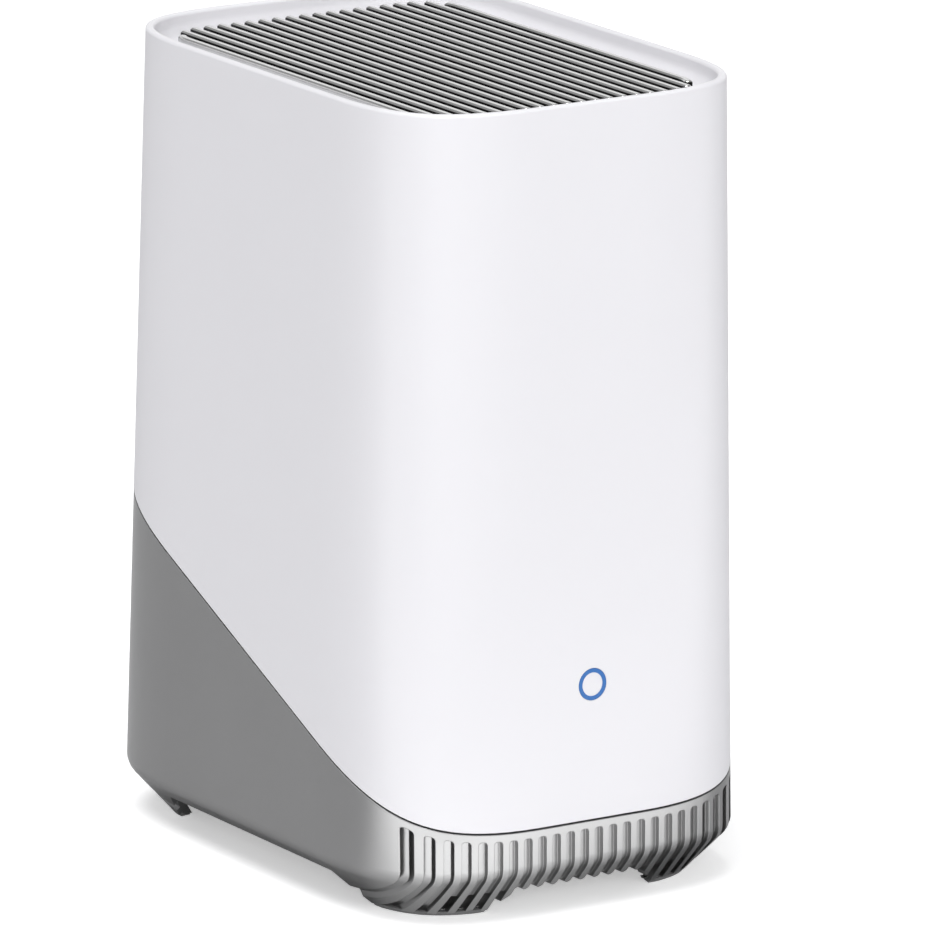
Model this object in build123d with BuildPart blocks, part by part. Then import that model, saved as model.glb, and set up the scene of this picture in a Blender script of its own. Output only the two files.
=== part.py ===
from build123d import *
from math import atan2, cos, radians, sin, sqrt, tan
import os

# Driving dimensions, in millimetres

# Body form: a tall drafted box with full corners, bent in below to its feet
body_width = 107.8
body_depth = 146.8
body_height = 197.0
corner_reach = 38.9
corner_full_share = 0.76
draft_inset = 3.7
bend_height = 11.5
bend_radius = 5.0
foot_inset = 10.1
shell_wall = 2.2

# Split between the white shell and the grey housing, a plane that climbs to the rear
split_front = 22.2
split_rear = 87.6
seam_gap = 0.5
tongue_gap = 0.3
tongue_wall = 1.1
tongue_rise = 3.0

# General clearances
fit_gap = 0.3
close_gap = 0.1
screw_gap = 0.05
overrun = 5.0

# Ribbed band round the front and the rear
slot_count = 24
slot_pitch = 4.04
slot_width = 2.3
slot_depth = 1.4
slot_head = 2.3
slot_head_radius = 0.8
rear_slot_top = 20.0

# Underside, with the four open corner feet
floor_bottom = 8.0
floor_thickness = 3.0
skirt_bottom = 6.0
pad_height = 0.6
pad_margin = 0.8
ring_height = 1.0
foot_wall = 3.6
foot_slot_count = 18
front_arch_half = 17.2
front_foot_reach = 23.6
side_arch_half = 36.9
side_foot_reach = 44.1

# Rim and ledge at the top
rim_lip = 2.0
rim_radius = 0.8
ledge_depth = 5.5
ledge_thickness = 3.6
ledge_cove_radius = 3.0

# Top grille
grille_rib_count = 21
grille_rib_pitch = 3.92
grille_rib_width = 2.2
grille_rib_rise = 3.3
grille_depth = 120.4
grille_corner_radius = 11.5
grille_frame_height = 1.6
grille_frame_margin = 0.3
grille_seat_width = 3.0
grille_bar_count = 5
grille_bar_width = 3.0
grille_bar_pitch = 22.0
grille_end_radius = 0.7
grille_corner_turn = 22.0

# Front light
light_height = 55.5
light_diameter = 7.8
light_stroke = 1.0
light_flange_diameter = 11.0
light_flange_thickness = 1.2
light_core_setback = 0.15
light_board_gap = 2.0
light_board_size = 17.0
light_board_thickness = 1.2
light_post_diameter = 3.6
light_post_spacing = 15.5
light_chip_size = 3.2
light_chip_height = 1.2
light_board_margin = 3.0
light_board_radius = 2.0
light_screw_length = 4.0

# Drive bay for one thin disk drive, open at the bottom, and its cover
bay_width = 11.5
bay_length = 72.0
bay_height = 106.0
cage_wall = 1.6
bay_cover_width = 19.0
bay_cover_length = 92.0
bay_cover_thickness = 1.7
bay_cover_radius = 2.5
bay_screw_inset = 4.0
bay_screw_length = 4.6
bay_head_sink = 0.9
bay_boss_diameter = 6.0
bay_boss_height = 4.0
bay_grip_count = 5
bay_grip_spacing = 3.0
bay_grip_length = 12.0
bay_grip_width = 1.2
bay_grip_depth = 0.5
socket_length = 42.0
socket_width = 5.0
socket_drop = 6.2
riser_length = 64.0
riser_thickness = 1.2
riser_screw_reach = 29.0
socket_key_pitch = 20.0
socket_slot_width = 2.0
socket_slot_length = 16.0
socket_slot_depth = 4.0
cage_screw_half_y = 26.0
cage_screw_half_z = 35.0
cage_screw_height = 60.0
cage_vent_height = 60.0
cage_vent_count = 7
cage_vent_pitch = 9.0
cage_vent_length = 60.0
cage_vent_width = 3.5

# Chassis
chassis_wall = 2.0
chassis_half_length = 58.0
chassis_foot_thickness = 2.0
chassis_foot_left = -43.5
chassis_foot_right = -1.5
chassis_foot_half = 50.5
chassis_corner_radius = 2.5
base_screw_left = -38.5
base_screw_left_reach = 22.0
base_screw_right = -6.0
base_screw_right_reach = 46.5
base_boss_diameter = 7.0
base_boss_height = 6.0
base_screw_length = 8.0
antenna_flange_width = 24.0
antenna_flange_bottom = 118.0
antenna_flange_top = 158.0
antenna_width = 20.0
antenna_length = 36.0
antenna_thickness = 0.8
antenna_corner_radius = 1.0
antenna_track_count = 5
antenna_track_pitch = 6.0
antenna_track_length = 14.0
antenna_track_width = 1.5
antenna_track_rise = 0.1
fan_arm_width = 12.0
fan_arm_thickness = 2.5
gusset_drop = 22.0
gusset_reach = 16.0
wire_hole_width = 18.0
wire_hole_height = 8.0
wire_hole_center_height = 124.0

# Main board and what stands on it
board_thickness = 1.6
board_length = 116.0
board_height = 128.0
board_bottom = 20.0
board_rear = 65.2
board_standoff = 5.0
board_standoff_diameter = 6.5
board_standoff_front = -45.0
board_standoff_rear = 48.0
board_standoff_margin = 6.0
board_screw_length = 5.0
board_corner_radius = 2.0
chip_corner_radius = 0.4
processor_size = 15.0
processor_height = 1.4
thermal_pad_size = 14.0
thermal_pad_thickness = 0.8
sink_center_y = -6.0
sink_center_height = 100.0
sink_size = 44.0
sink_base = 3.0
sink_fin_height = 12.0
sink_fin_thickness = 1.3
sink_fin_count = 9
sink_pin_diameter = 2.6
sink_pin_half = 18.0
sink_pin_proud = 0.8
sink_corner_cut = 9.0
sink_pin_head_diameter = 4.2
sink_pin_head_height = 1.2
memory_size = 11.0
memory_height = 1.1
memory_center_height = 64.0
memory_spacing = 16.0
radio_length = 26.0
radio_width = 18.0
radio_height = 2.6
radio_corner_radius = 1.0
radio_edge_radius = 0.4
radio_center_y = -26.0
radio_center_height = 136.0
capacitor_diameter = 6.3
capacitor_height = 7.7
capacitor_edge_radius = 0.6
capacitor_center_y = 42.0
capacitor_center_height = 62.0
capacitor_spacing = 9.0
capacitor_count = 3

# Rear connectors
port_setback = 0.4
port_lean = 0.3
lan_width = 16.0
lan_height = 13.5
lan_length = 21.0
lan_center_height = 43.0
lan_cavity_width = 11.8
lan_cavity_height = 7.2
lan_cavity_floor = 2.2
lan_cavity_depth = 13.0
lan_latch_width = 6.0
lan_latch_height = 2.2
lan_contact_count = 8
lan_contact_pitch = 1.02
lan_contact_size = 0.5
lan_contact_length = 8.0
usb_width = 13.2
usb_height = 7.0
usb_length = 15.0
usb_wall = 0.5
usb_corner_radius = 0.9
usb_center_height = 60.0
usb_tongue_width = 11.2
usb_tongue_thickness = 1.9
usb_tongue_rise = 1.0
usb_block_length = 4.5
usb_tongue_setback = 1.0
power_width = 9.4
power_height = 11.0
power_length = 14.0
power_bore = 6.4
power_bore_depth = 9.5
power_pin_diameter = 2.0
power_pin_setback = 1.5
power_pin_end_radius = 0.5
power_center_height = 27.5

# Rear button and reset hole
button_diameter = 8.0
button_proud = 0.6
button_flange_diameter = 10.4
button_flange_thickness = 1.0
button_stem_diameter = 3.0
button_stem_length = 3.0
button_edge_radius = 0.5
button_center_height = 79.4
button_travel = 0.8
reset_hole_diameter = 1.8
reset_center_height = 70.0
reset_travel = 0.4
switch_axis_height = 4.5
switch_body_height = 7.0
switch_size = 6.0
switch_length = 6.0
switch_setback = 2.0
plunger_diameter = 2.6
plunger_proud = 1.4
plunger_hold = 1.6
reset_plunger_diameter = 2.0
reset_plunger_proud = 1.0

# Cooling fan under the grille
fan_size = 60.0
fan_thickness = 15.0
fan_bottom = 168.0
fan_corner_radius = 3.5
fan_bore = 57.0
fan_hole_spacing = 50.0
fan_hub_diameter = 26.0
fan_hub_plate = 2.0
fan_strut_count = 4
fan_strut_width = 3.0
fan_strut_turn = 45.0
fan_bearing_diameter = 7.0
fan_bearing_height = 9.0
fan_shaft_diameter = 2.5
fan_shaft_gap = 0.05
fan_stator_diameter = 20.0
fan_stator_height = 5.5
fan_stator_notch = 4.0
fan_cup_diameter = 27.0
fan_cup_wall = 1.5
fan_cup_top_gap = 0.8
fan_cup_bottom_gap = 0.5
fan_cup_radius = 0.8
fan_blade_count = 7
fan_blade_root_chord = 11.5
fan_blade_tip_chord = 15.5
fan_blade_root_pitch = 48.0
fan_blade_tip_pitch = 32.0
fan_blade_thickness = 1.2
fan_tip_gap = 0.9
fan_screw_length = 17.5

# Speaker, firing down through the floor
speaker_size = 42.0
speaker_corner_radius = 4.0
speaker_x = 25.0
speaker_y = -30.0
speaker_flange = 2.0
speaker_mouth = 34.0
speaker_gasket_width = 2.6
speaker_gasket_thickness = 0.6
speaker_basket_height = 11.0
speaker_basket_neck = 13.5
speaker_basket_wall = 1.2
speaker_magnet_diameter = 24.0
speaker_magnet_height = 8.0
speaker_magnet_radius = 1.0
speaker_cone_land = 2.5
speaker_cone_thickness = 0.6
speaker_cone_neck = 6.0
speaker_cone_drop = 6.5
speaker_screw_inset = 3.6
speaker_screw_bite = 2.2
sound_hole_diameter = 2.6
sound_ring_radii = (6.0, 11.5)
sound_ring_counts = (6, 12)

# Screws
screw_diameter = 3.0
screw_head_diameter = 5.4
screw_head_height = 1.8
small_screw_diameter = 2.0
small_screw_head_diameter = 3.8
small_screw_head_height = 1.3
screw_head_taper = 12.0

# Derived levels and places
floor_top = floor_bottom + floor_thickness
fin_tip_radius = (slot_pitch - slot_width) / 2
fin_tip_count = 2 * int(front_arch_half / slot_pitch) + 1
ring_top = pad_height + ring_height
housing_wall = shell_wall + tongue_gap + tongue_wall
ledge_top = body_height - ledge_depth
ledge_bottom = ledge_top - ledge_thickness
grille_bottom = ledge_top - grille_frame_height
grille_width = (grille_rib_count - 1) * grille_rib_pitch + grille_rib_width + 2 * grille_frame_margin
split_angle = atan2(split_rear - split_front, body_depth)
draft_angle = atan2(draft_inset, body_height - bend_height)
board_face = -lan_height / 2
web_right = board_face - board_thickness - board_standoff
web_left = web_right - chassis_wall
cage_width = bay_width + 2 * cage_wall
cage_length = bay_length + 2 * cage_wall
cage_center = web_left - cage_width / 2
cage_top = floor_top + bay_height + cage_wall
fan_arm_bottom = fan_bottom - fan_arm_thickness
fan_screw_half = fan_hole_spacing / 2
bay_screw_reach = bay_cover_length / 2 - bay_screw_inset
speaker_screw_reach = speaker_size / 2 - speaker_screw_inset


def lean(height):
    """How far the outer wall stands in from its widest place at this height."""
    if height < bend_height:
        return foot_inset * (1 - height / bend_height)
    return draft_inset * (height - bend_height) / (body_height - bend_height)


def wall_place(height, depth):
    """Distance from the middle to the front or rear wall, a depth inside its outer face."""
    return body_depth / 2 - lean(height) - depth


def body_section(inset, height):
    """Level outline of the body at this height, drawn in by inset."""
    half_width = body_width / 2 - lean(height) - inset
    half_depth = body_depth / 2 - lean(height) - inset
    reach = corner_reach - lean(height) - inset
    side_x = half_width - reach
    side_y = half_depth - reach
    handle = corner_full_share * reach
    with BuildSketch(Plane.XY.offset(height)) as section:
        with BuildLine():
            for side in (1, -1):
                Line((side * half_width, -side_y), (side * half_width, side_y))
                Line((-side_x, side * half_depth), (side_x, side * half_depth))
                for end in (1, -1):
                    Bezier(
                        (side * half_width, end * side_y),
                        (side * half_width, end * (side_y + handle)),
                        (side * (side_x + handle), end * half_depth),
                        (side * side_x, end * half_depth),
                    )
        make_face()
    return section.sketch


def body_form(inset, rounding):
    """The whole outer form, drawn in by inset, with its bend rounded."""
    with BuildPart() as form:
        loft(sections=[body_section(inset, 0), body_section(inset, bend_height)], ruled=True)
        loft(sections=[body_section(inset, bend_height), body_section(inset, body_height)], ruled=True)
        bend = form.edges().filter_by_position(Axis.Z, bend_height - close_gap, bend_height + close_gap)
        fillet(bend, rounding)
    return form.part


def below_split(rise):
    """Everything under the split plane, lifted by rise."""
    half = body_depth / 2 + overrun
    low = split_front + rise - overrun * tan(split_angle)
    high = split_rear + rise + overrun * tan(split_angle)
    with BuildPart() as block:
        with BuildSketch(Plane.YZ):
            with BuildLine():
                Polyline((-half, -overrun), (half, -overrun), (half, high), (-half, low), close=True)
            make_face()
        extrude(amount=body_width, both=True)
    return block.part


def pan_screws(plane, places, diameter, length, head_diameter, head_height):
    """Screws at the places of a plane, with their heads above it and their shanks below."""
    with BuildPart() as screws:
        with BuildSketch(plane):
            with Locations(*places):
                Circle(head_diameter / 2)
        extrude(amount=head_height, taper=screw_head_taper)
        with BuildSketch(plane):
            with Locations(*places):
                Circle(diameter / 2)
        extrude(amount=-length)
    return screws.part


def corners(half_x, half_y, center_x=0, center_y=0):
    """The four corner places of a rectangle about a centre."""
    return [(center_x + x * half_x, center_y + y * half_y) for x in (-1, 1) for y in (-1, 1)]


os.makedirs("parts", exist_ok=True)

# Outer shell: the white cover, with its rim, the cove inside it and the seat of the grille
light_plane = Plane(
    origin=(0, -wall_place(light_height, 0), light_height),
    x_dir=(1, 0, 0),
    z_dir=(0, -cos(draft_angle), sin(draft_angle)),
)
light_board_depth = shell_wall + close_gap + light_flange_thickness + light_board_gap
light_post_places = [(-light_post_spacing / 2, 0), (light_post_spacing / 2, 0)]

with BuildPart() as outer_shell:
    loft(sections=[body_section(0, bend_height), body_section(0, body_height)], ruled=True)
    loft(
        sections=[body_section(shell_wall, bend_height), body_section(shell_wall, ledge_bottom)],
        ruled=True,
        mode=Mode.SUBTRACT,
    )
    loft(
        sections=[body_section(rim_lip, ledge_top), body_section(rim_lip, body_height)],
        ruled=True,
        mode=Mode.SUBTRACT,
    )
    rim = outer_shell.edges().filter_by_position(Axis.Z, body_height - close_gap, body_height + close_gap)
    fillet(rim, rim_radius)
    cove = outer_shell.edges().filter_by_position(Axis.Z, ledge_top - close_gap, ledge_top + close_gap)
    fillet(cove, ledge_cove_radius)
    with BuildSketch(Plane.XY.offset(ledge_top)):
        RectangleRounded(
            grille_width + 2 * fit_gap,
            grille_depth + 2 * fit_gap,
            grille_corner_radius + fit_gap,
        )
    extrude(amount=-grille_frame_height, mode=Mode.SUBTRACT)
    with BuildSketch(Plane.XY.offset(ledge_top)):
        RectangleRounded(
            grille_width - 2 * grille_seat_width,
            grille_depth - 2 * grille_seat_width,
            grille_corner_radius - grille_seat_width,
        )
    extrude(amount=-ledge_thickness - overrun, mode=Mode.SUBTRACT)
    with BuildSketch(light_plane.offset(-shell_wall / 2)):
        with Locations(*light_post_places):
            Circle(light_post_diameter / 2)
    extrude(amount=shell_wall / 2 - light_board_depth)
    with BuildSketch(light_plane.offset(-light_board_depth)):
        with Locations(*light_post_places):
            Circle(small_screw_diameter / 2 + screw_gap)
    extrude(amount=light_board_depth - shell_wall, mode=Mode.SUBTRACT)
    with BuildSketch(light_plane.offset(overrun)):
        Circle(light_diameter / 2 + close_gap)
    extrude(amount=-shell_wall - 2 * overrun, mode=Mode.SUBTRACT)
    add(below_split(0), mode=Mode.SUBTRACT)
outer_shell.part.label = "outer_shell"
export_step(outer_shell.part, "parts/outer_shell.step")

# Base housing: the grey lower body, with ribbed bands, tongue, floor and four open feet
front_slot_plane = Plane(
    origin=(0, -body_depth / 2, split_front - slot_head),
    x_dir=(1, 0, 0),
    z_dir=(0, cos(split_angle), sin(split_angle)),
).offset(-overrun)
rear_slot_plane = Plane(
    origin=(0, body_depth / 2 + overrun, rear_slot_top),
    x_dir=(-1, 0, 0),
    z_dir=(0, -1, 0),
)
base_screw_places = [
    (base_screw_left, -base_screw_left_reach),
    (base_screw_left, base_screw_left_reach),
    (base_screw_right, -base_screw_right_reach),
    (base_screw_right, base_screw_right_reach),
]
bay_screw_places = [(cage_center, end * bay_screw_reach) for end in (-1, 1)]
speaker_screw_places = corners(speaker_screw_reach, speaker_screw_reach, speaker_x, speaker_y)
switch_axis_x = board_face + switch_axis_height
usb_axis_x = board_face + usb_height / 2
power_axis_x = board_face + power_height / 2
slot_fall = split_front + body_depth / 2


def rear_plane(height, x=0.0):
    """Upright plane on the rear wall's outer face at this height, facing rearwards."""
    return Plane(origin=(x, wall_place(height, 0), height), x_dir=(-1, 0, 0), z_dir=(0, 1, 0))


def slot_block(plane, reach):
    """Upright slabs as wide as the slots, hung from their round heads on a plane."""
    with BuildPart() as block:
        with BuildSketch(plane) as slots:
            with GridLocations(slot_pitch, 0, slot_count, 1):
                Rectangle(slot_width, slot_fall, align=(Align.CENTER, Align.MIN))
            fillet(slots.vertices().group_by(Axis.Z)[-1], slot_head_radius)
        extrude(amount=reach)
    return block.part


with BuildPart() as slot_cutter:
    add(slot_block(front_slot_plane, body_depth / 2 / cos(split_angle)))
    add(slot_block(rear_slot_plane, body_depth / 2))
    add(body_form(slot_depth, bend_radius - slot_depth), mode=Mode.SUBTRACT)

with BuildPart() as tongue:
    loft(
        sections=[
            body_section(shell_wall + tongue_gap, bend_height),
            body_section(shell_wall + tongue_gap, body_height),
        ],
        ruled=True,
    )
    add(below_split(tongue_rise), mode=Mode.INTERSECT)

with BuildPart() as base_housing:
    add(body_form(0, bend_radius))
    add(below_split(-seam_gap), mode=Mode.INTERSECT)
    add(tongue.part)
    loft(
        sections=[body_section(housing_wall, floor_top), body_section(housing_wall, bend_height)],
        ruled=True,
        mode=Mode.SUBTRACT,
    )
    loft(
        sections=[body_section(housing_wall, bend_height), body_section(housing_wall, body_height)],
        ruled=True,
        mode=Mode.SUBTRACT,
    )
    add(slot_cutter.part, mode=Mode.SUBTRACT)
    # Underside: the open middle, the arches between the feet and the slots through the feet
    loft(
        sections=[body_section(foot_wall, 0), body_section(foot_wall, floor_bottom)],
        ruled=True,
        mode=Mode.SUBTRACT,
    )
    with BuildSketch(Plane.XZ):
        with BuildLine():
            Polyline(
                (-front_foot_reach, 0),
                (-front_foot_reach, pad_height),
                (-front_arch_half, skirt_bottom + fin_tip_radius),
                (front_arch_half, skirt_bottom + fin_tip_radius),
                (front_foot_reach, pad_height),
                (front_foot_reach, 0),
                close=True,
            )
        make_face()
        with Locations((0, skirt_bottom + fin_tip_radius)):
            with GridLocations(slot_pitch, 0, fin_tip_count, 1):
                Circle(fin_tip_radius, mode=Mode.SUBTRACT)
    extrude(amount=body_depth, both=True, mode=Mode.SUBTRACT)
    with BuildSketch(Plane.YZ):
        with BuildLine():
            Polyline(
                (-side_foot_reach, 0),
                (-side_foot_reach, pad_height),
                (-side_arch_half, floor_bottom),
                (side_arch_half, floor_bottom),
                (side_foot_reach, pad_height),
                (side_foot_reach, 0),
                close=True,
            )
        make_face()
    extrude(amount=body_width, both=True, mode=Mode.SUBTRACT)
    with BuildSketch(Plane.XY.offset(ring_top)):
        with GridLocations(slot_pitch, 0, foot_slot_count, 1):
            Rectangle(slot_width, body_depth)
    extrude(amount=skirt_bottom - ring_top, mode=Mode.SUBTRACT)
    with BuildSketch(Plane.XY):
        Rectangle(body_width, body_depth)
    extrude(amount=pad_height, mode=Mode.SUBTRACT)
    # Floor: bosses for the bay cover's screws, then the bay's mouth, its cover's seat and the holes
    with BuildSketch(Plane.XY.offset(floor_top)):
        with Locations(*bay_screw_places):
            Circle(bay_boss_diameter / 2)
    extrude(amount=bay_boss_height)
    with BuildSketch(Plane.XY.offset(floor_bottom)):
        with Locations(*bay_screw_places):
            Circle(small_screw_diameter / 2 + screw_gap)
    extrude(amount=floor_thickness + bay_boss_height, mode=Mode.SUBTRACT)
    with BuildSketch(Plane.XY.offset(floor_bottom)):
        with Locations((cage_center, 0)):
            Rectangle(bay_width, bay_length)
        with Locations(*base_screw_places):
            Circle(screw_diameter / 2 + screw_gap)
        with Locations((speaker_x, speaker_y)):
            Circle(sound_hole_diameter / 2)
            for radius, count in zip(sound_ring_radii, sound_ring_counts):
                with PolarLocations(radius, count):
                    Circle(sound_hole_diameter / 2)
    extrude(amount=floor_thickness, mode=Mode.SUBTRACT)
    with BuildSketch(Plane.XY.offset(floor_bottom)):
        with Locations((cage_center, 0)):
            RectangleRounded(
                bay_cover_width + 2 * fit_gap,
                bay_cover_length + 2 * fit_gap,
                bay_cover_radius + fit_gap,
            )
    extrude(amount=bay_cover_thickness, mode=Mode.SUBTRACT)
    with BuildSketch(Plane.XY.offset(floor_bottom)):
        with Locations(*base_screw_places):
            Circle(screw_head_diameter / 2 + fit_gap)
    extrude(amount=screw_head_height, mode=Mode.SUBTRACT)
    with BuildSketch(Plane.XY.offset(floor_top)):
        with Locations(*speaker_screw_places):
            Circle(small_screw_diameter / 2 + screw_gap)
    extrude(amount=-speaker_screw_bite - close_gap, mode=Mode.SUBTRACT)
    # Rear wall: the mouths of the connectors, the button and the reset hole
    with BuildSketch(rear_plane(lan_center_height).offset(overrun)):
        Rectangle(lan_height + 2 * fit_gap, lan_width + 2 * fit_gap)
    extrude(amount=-housing_wall - 2 * overrun, mode=Mode.SUBTRACT)
    with BuildSketch(rear_plane(usb_center_height, usb_axis_x).offset(overrun)):
        Rectangle(usb_height + 2 * fit_gap, usb_width + 2 * fit_gap)
    extrude(amount=-housing_wall - 2 * overrun, mode=Mode.SUBTRACT)
    with BuildSketch(rear_plane(power_center_height, power_axis_x).offset(overrun)):
        Rectangle(power_height + 2 * fit_gap, power_width + 2 * fit_gap)
    extrude(amount=-housing_wall - 2 * overrun, mode=Mode.SUBTRACT)
    with BuildSketch(rear_plane(button_center_height, switch_axis_x).offset(overrun)):
        Circle(button_diameter / 2 + fit_gap)
    extrude(amount=-housing_wall - 2 * overrun, mode=Mode.SUBTRACT)
    with BuildSketch(rear_plane(reset_center_height, switch_axis_x).offset(overrun)):
        Circle(reset_hole_diameter / 2)
    extrude(amount=-housing_wall - 2 * overrun, mode=Mode.SUBTRACT)
base_housing.part.label = "base_housing"
export_step(base_housing.part, "parts/base_housing.step")

# Foot pads: a soft strip under each of the four corner feet
with BuildPart() as foot_pads:
    extrude(body_section(pad_margin, 0), amount=pad_height)
    extrude(body_section(foot_wall - pad_margin, 0), amount=pad_height, mode=Mode.SUBTRACT)
    with BuildSketch(Plane.XY):
        Rectangle(2 * (front_foot_reach + pad_margin), body_depth)
        Rectangle(body_width, 2 * (side_foot_reach + pad_margin))
    extrude(amount=pad_height, mode=Mode.SUBTRACT)
foot_pads.part.label = "foot_pads"
export_step(foot_pads.part, "parts/foot_pads.step")

# Top grille: lengthwise ribs with round ends on a frame, the outermost bent round the corners
rib_half = grille_rib_width / 2
rib_middle = (grille_rib_count - 1) // 2
outer_rib_x = rib_middle * grille_rib_pitch
rib_turn = grille_corner_radius - grille_frame_margin - rib_half
corner_x = grille_width / 2 - grille_corner_radius
corner_y = grille_depth / 2 - grille_corner_radius


def rib_length(x):
    """Length of the straight rib at x, which ends on the corner curve."""
    aside = max(0, abs(x) - corner_x)
    return 2 * (corner_y + sqrt(rib_turn**2 - aside**2) + rib_half)


with BuildPart() as grille_ribs:
    with BuildSketch(Plane.XY.offset(grille_bottom)):
        for step in range(1 - rib_middle, rib_middle):
            with Locations((step * grille_rib_pitch, 0)):
                SlotOverall(rib_length(step * grille_rib_pitch), grille_rib_width, rotation=90)
        for side in (-1, 1):
            with Locations((side * outer_rib_x, 0)):
                Rectangle(grille_rib_width, 2 * corner_y)
            for end in (-1, 1):
                bend_start = 0 if side > 0 else 180
                bend = CenterArc(
                    (side * corner_x, end * corner_y),
                    rib_turn,
                    bend_start,
                    side * end * grille_corner_turn,
                    mode=Mode.PRIVATE,
                )
                SlotArc(bend, grille_rib_width)
    extrude(amount=grille_frame_height + grille_rib_rise)
    fillet(grille_ribs.faces().sort_by(Axis.Z)[-grille_rib_count:].edges(), grille_end_radius)

with BuildPart() as top_grille:
    with BuildSketch(Plane.XY.offset(grille_bottom)):
        RectangleRounded(grille_width, grille_depth, grille_corner_radius)
        RectangleRounded(
            grille_width - 2 * grille_seat_width,
            grille_depth - 2 * grille_seat_width,
            grille_corner_radius - grille_seat_width,
            mode=Mode.SUBTRACT,
        )
        with GridLocations(0, grille_bar_pitch, 1, grille_bar_count):
            Rectangle(grille_width - grille_seat_width, grille_bar_width)
    extrude(amount=grille_frame_height)
    add(grille_ribs.part)
top_grille.part.label = "top_grille"
export_step(top_grille.part, "parts/top_grille.step")

# Bay cover: closes the mouth of the drive bay and comes off downwards with its two screws
with BuildPart() as bay_cover:
    with BuildSketch(Plane.XY.offset(floor_bottom)):
        with Locations((cage_center, 0)):
            RectangleRounded(bay_cover_width, bay_cover_length, bay_cover_radius)
        with Locations(*bay_screw_places):
            Circle(small_screw_diameter / 2 + screw_gap, mode=Mode.SUBTRACT)
    extrude(amount=bay_cover_thickness)
    with BuildSketch(Plane.XY.offset(floor_bottom)):
        with Locations(*bay_screw_places):
            Circle(small_screw_head_diameter / 2 + close_gap)
    extrude(amount=bay_head_sink, mode=Mode.SUBTRACT)
    with BuildSketch(Plane.XY.offset(floor_bottom)):
        with Locations((cage_center, 0)):
            with GridLocations(0, bay_grip_spacing, 1, bay_grip_count):
                Rectangle(bay_grip_length, bay_grip_width)
    extrude(amount=bay_grip_depth, mode=Mode.SUBTRACT)
bay_cover.part.label = "bay_cover"
export_step(bay_cover.part, "parts/bay_cover.step")

bay_screws = pan_screws(
    Plane(origin=(0, 0, floor_bottom + bay_head_sink), x_dir=(1, 0, 0), z_dir=(0, 0, -1)),
    bay_screw_places,
    small_screw_diameter,
    bay_screw_length,
    small_screw_head_diameter,
    bay_head_sink,
)
bay_screws.label = "bay_screws"
export_step(bay_screws, "parts/bay_screws.step")

# Chassis: a pressed sheet with a foot flange, a tall web, board standoffs, fan arms and side flaps
web_plane = Plane(origin=(web_right, 0, 0), x_dir=(0, 1, 0), z_dir=(1, 0, 0))
standoff_places = [
    (y, z)
    for y in (board_standoff_front, board_standoff_rear)
    for z in (board_bottom + board_standoff_margin, board_bottom + board_height - board_standoff_margin)
]
cage_screw_places = corners(cage_screw_half_y, cage_screw_half_z, 0, cage_screw_height)
fan_arm_places = [(0, -fan_screw_half), (0, fan_screw_half)]

with BuildPart() as chassis:
    with BuildSketch(Plane.XY.offset(floor_top)):
        with Locations(((chassis_foot_left + chassis_foot_right) / 2, 0)):
            RectangleRounded(
                chassis_foot_right - chassis_foot_left,
                2 * chassis_foot_half,
                chassis_corner_radius,
            )
        with Locations((cage_center - fit_gap / 2, 0)):
            Rectangle(cage_width + fit_gap, cage_length + 2 * fit_gap, mode=Mode.SUBTRACT)
        with Locations(*bay_screw_places):
            Circle(bay_boss_diameter / 2 + fit_gap, mode=Mode.SUBTRACT)
    extrude(amount=chassis_foot_thickness)
    with BuildSketch(web_plane):
        with BuildLine():
            Polyline(
                (-chassis_foot_half, floor_top),
                (-chassis_half_length, board_bottom),
                (-chassis_half_length, fan_arm_bottom),
                (chassis_half_length, fan_arm_bottom),
                (chassis_half_length, board_bottom),
                (chassis_foot_half, floor_top),
                close=True,
            )
        make_face()
        with Locations((0, wire_hole_center_height)):
            SlotOverall(wire_hole_width, wire_hole_height, mode=Mode.SUBTRACT)
    extrude(amount=-chassis_wall)
    with BuildSketch(web_plane):
        with Locations(*standoff_places):
            Circle(board_standoff_diameter / 2)
    extrude(amount=board_standoff)
    with BuildSketch(web_plane.offset(board_standoff)):
        with Locations(*standoff_places):
            Circle(screw_diameter / 2 + screw_gap)
    extrude(amount=-board_standoff, mode=Mode.SUBTRACT)
    with BuildSketch(web_plane):
        with Locations(*cage_screw_places):
            Circle(small_screw_diameter / 2 + screw_gap)
    extrude(amount=-chassis_wall, mode=Mode.SUBTRACT)
    with BuildSketch(Plane.XY.offset(floor_top)):
        with Locations(*base_screw_places):
            Circle(base_boss_diameter / 2)
    extrude(amount=chassis_foot_thickness + base_boss_height)
    with BuildSketch(Plane.XY.offset(floor_top)):
        with Locations(*base_screw_places):
            Circle(screw_diameter / 2 + screw_gap)
    extrude(amount=chassis_foot_thickness + base_boss_height, mode=Mode.SUBTRACT)
    # Fan arms, reaching to the right over the board and to the left, with their gussets
    with BuildSketch(Plane.XY.offset(fan_arm_bottom)):
        with Locations(*fan_arm_places):
            RectangleRounded(fan_hole_spacing + fan_arm_width, fan_arm_width, chassis_corner_radius)
        with Locations(*corners(fan_screw_half, fan_screw_half)):
            Circle(screw_diameter / 2 + screw_gap, mode=Mode.SUBTRACT)
    extrude(amount=fan_arm_thickness)
    for end in (-1, 1):
        with BuildSketch(Plane.XZ.offset(-end * fan_screw_half)):
            with BuildLine():
                Polyline(
                    (web_left - gusset_reach, fan_arm_bottom),
                    (web_right + gusset_reach, fan_arm_bottom),
                    (web_right, fan_arm_bottom - gusset_drop),
                    (web_left, fan_arm_bottom - gusset_drop),
                    close=True,
                )
            make_face()
        extrude(amount=chassis_wall / 2, both=True)
    # Flaps at the ends of the web, which carry the antennas
    with BuildSketch(Plane.XY.offset(antenna_flange_bottom)):
        with Locations(
            (web_right - antenna_flange_width / 2, chassis_wall / 2 - chassis_half_length),
            (web_right - antenna_flange_width / 2, chassis_half_length - chassis_wall / 2),
        ):
            Rectangle(antenna_flange_width, chassis_wall)
    extrude(amount=antenna_flange_top - antenna_flange_bottom)
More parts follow.
